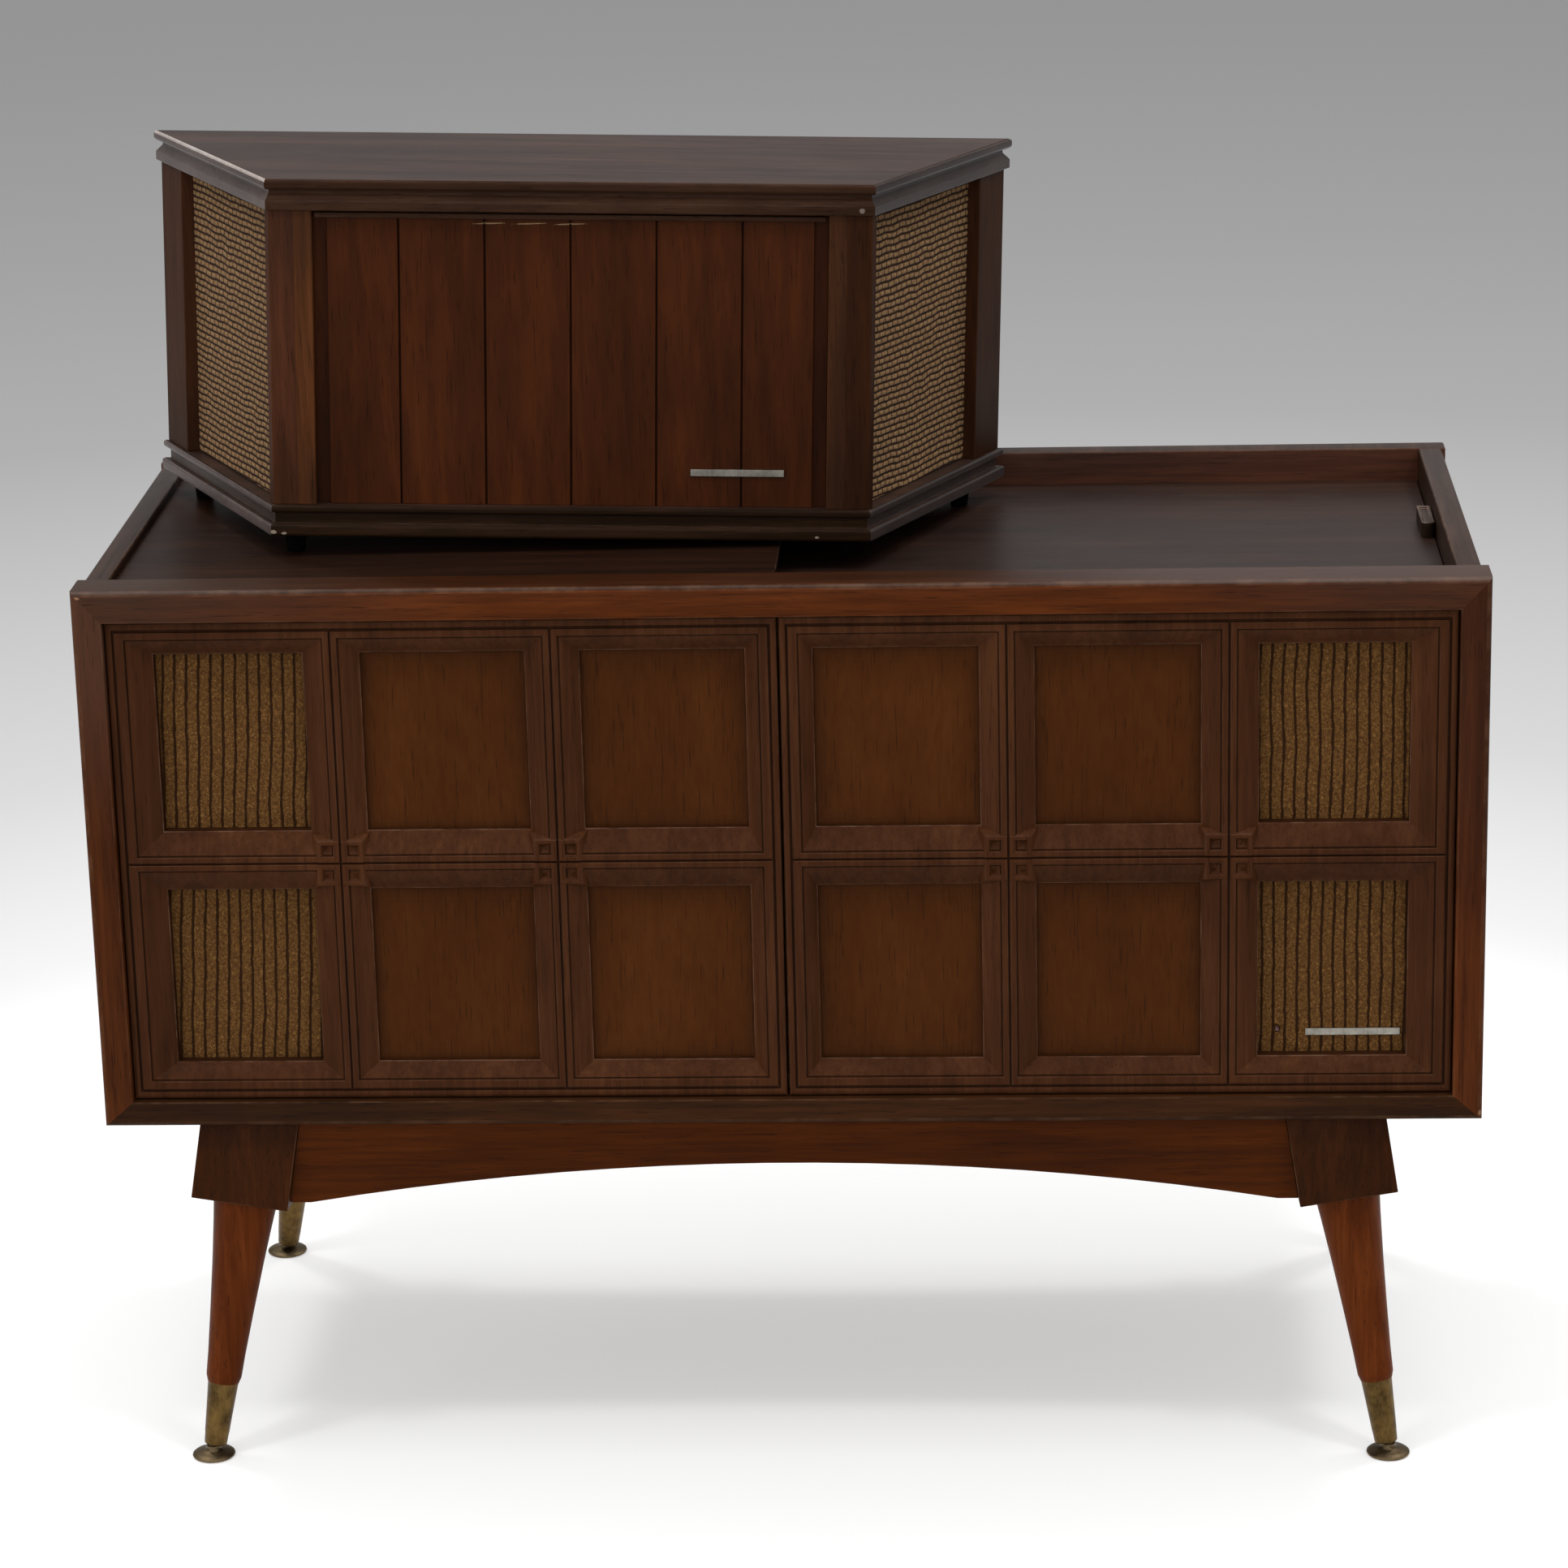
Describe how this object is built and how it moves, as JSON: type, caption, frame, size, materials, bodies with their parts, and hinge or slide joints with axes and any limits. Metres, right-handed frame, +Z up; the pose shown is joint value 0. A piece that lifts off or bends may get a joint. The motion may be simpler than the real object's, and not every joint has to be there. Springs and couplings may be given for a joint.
{
  "type": "record console",
  "caption": "Low walnut record console on splayed turned legs, with a panelled grille front, a gliding top panel over a changer, and a trapezoid extension speaker.",
  "frame": {"origin": "on the floor under the middle of the case, midway between the four feet", "axes": "+X to the listener's right along the case's width, +Y to the back, +Z up; the grille front faces -Y"},
  "size_m": [1.118, 0.47, 1.052],
  "materials": {
    "walnut": "satin dark brown lacquer over walnut",
    "dark_moulding": "satin dark glazed moulding",
    "veneer": "satin walnut veneer with upright grain",
    "inner_board": "bare board",
    "hardboard": "pressed hardboard",
    "gold_cloth": "striped gold and brown grille cloth",
    "basket_cloth": "coarse basket weave grille cloth",
    "paper_cone": "black paper cone and steel basket",
    "jewel": "clear red jewel",
    "bright_trim": "brushed bright trim",
    "aged_brass": "worn brass",
    "steel": "plain steel",
    "enamel": "stone grey enamel",
    "mat_rubber": "ribbed rubber",
    "clear_glass": "clear",
    "knob_plastic": "ivory and gold plastic",
    "felt_foot": "dark moulded foot"
  },
  "bodies": {
    "case": {"amplifier_chassis": "steel", "amplifier_valves": "clear_glass", "back_panel": "hardboard", "back_panel_fittings": "bright_trim", "back_rail": "walnut", "base_aprons": "walnut", "bay_walls": "inner_board", "bottom_board": "inner_board", "case_battens": "inner_board", "changer_motor": "enamel", "changer_plate": "enamel", "changer_springs": "steel", "console_name_bar": "bright_trim", "control_panel": "bright_trim", "corner_blocks": "walnut", "deck_boards": "inner_board", "dial_glass": "clear_glass", "ferrules": "aged_brass", "front_frame": "walnut", "glides": "aged_brass", "grille_cloth": "gold_cloth", "left_grille_frame": "dark_moulding", "left_top_panel": "walnut", "leg_bolts": "steel", "legs": "walnut", "panel_tracks": "inner_board", "pilot_jewel": "jewel", "power_transformer": "steel", "right_grille_frame": "dark_moulding", "side_boards": "walnut", "speaker_baffles": "inner_board", "tweeters": "paper_cone", "veneer_panels": "veneer", "woofers": "paper_cone"},
    "gliding_panel": {"right_top_panel": "walnut", "panel_pull": "walnut"},
    "platter": {"platter": "steel", "platter_mat": "mat_rubber"},
    "tonearm_turret": {"tonearm_turret": "bright_trim"},
    "tonearm": {"tonearm": "bright_trim"},
    "record_arm": {"record_arm": "bright_trim"},
    "start_lever": {"start_lever": "knob_plastic"},
    "speed_lever": {"speed_lever": "knob_plastic"},
    "volume_knob": {"volume_knob": "knob_plastic"},
    "tone_knob": {"tone_knob": "knob_plastic"},
    "selector_knob": {"selector_knob": "knob_plastic"},
    "tuning_knob": {"tuning_knob": "knob_plastic"},
    "dial_pointer": {"dial_pointer": "knob_plastic"},
    "power_button": {"power_button": "knob_plastic"},
    "extension_speaker": {"speaker_back_fittings": "bright_trim", "speaker_back_panel": "hardboard", "speaker_base_board": "walnut", "speaker_drivers": "paper_cone", "speaker_feet": "felt_foot", "speaker_front_boards": "veneer", "speaker_name_bar": "bright_trim", "speaker_posts": "walnut", "speaker_side_baffles": "inner_board", "speaker_side_cloth": "basket_cloth", "speaker_top_board": "walnut"}
  },
  "joints": [
    {"name": "panel_glide", "type": "slide", "parent": "case", "child": "gliding_panel", "axis": [-1, 0, 0], "range_m": [0, 0.51]},
    {"name": "platter_spin", "type": "hinge", "parent": "case", "child": "platter", "pos_m": [0.318, -0.005, 0.64], "axis": [0, 0, -1], "continuous": true},
    {"name": "tonearm_swing", "type": "hinge", "parent": "case", "child": "tonearm_turret", "pos_m": [0.492, 0.12, 0.66], "axis": [0, 0, -1], "range_deg": [0, 40]},
    {"name": "tonearm_lift", "type": "hinge", "parent": "tonearm_turret", "child": "tonearm", "pos_m": [0.492, 0.12, 0.66], "axis": [-1, 0, 0], "range_deg": [0, 10]},
    {"name": "record_arm_swing", "type": "hinge", "parent": "case", "child": "record_arm", "pos_m": [0.2, 0.145, 0.7], "axis": [0, 0, -1], "range_deg": [0, 52]},
    {"name": "start_lever_push", "type": "slide", "parent": "case", "child": "start_lever", "axis": [-1, 0, 0], "range_m": [0, 0.012], "stiffness_N_per_m": 60, "springref_m": -0.002},
    {"name": "speed_lever_turn", "type": "hinge", "parent": "case", "child": "speed_lever", "pos_m": [0.2, -0.13, 0.636], "axis": [0, 0, 1], "range_deg": [-30, 30]},
    {"name": "volume_knob_turn", "type": "hinge", "parent": "case", "child": "volume_knob", "pos_m": [0.116, -0.136, 0.65], "axis": [0, 0, -1], "range_deg": [0, 270]},
    {"name": "tone_knob_turn", "type": "hinge", "parent": "case", "child": "tone_knob", "pos_m": [0.116, -0.086, 0.65], "axis": [0, 0, -1], "range_deg": [-135, 135]},
    {"name": "selector_knob_turn", "type": "hinge", "parent": "case", "child": "selector_knob", "pos_m": [0.116, -0.036, 0.65], "axis": [0, 0, -1], "range_deg": [-60, 60]},
    {"name": "tuning_knob_turn", "type": "hinge", "parent": "case", "child": "tuning_knob", "pos_m": [0.116, 0.116, 0.65], "axis": [0, 0, -1], "range_deg": [-720, 720]},
    {"name": "dial_pointer_slide", "type": "slide", "parent": "case", "child": "dial_pointer", "axis": [0, 1, 0], "range_m": [-0.1, 0.1]},
    {"name": "power_button_push", "type": "slide", "parent": "case", "child": "power_button", "axis": [0, 0, -1], "range_m": [0, 0.004], "stiffness_N_per_m": 300, "springref_m": -0.001},
    {"name": "speaker_lift", "type": "slide", "parent": "case", "child": "extension_speaker", "axis": [0, 0, 1], "range_m": [0, 0.15]}
  ],
  "couplings": [
    {"joint": "dial_pointer_slide", "follows": "tuning_knob_turn", "m_per_rad": 0.0079577}
  ]
}
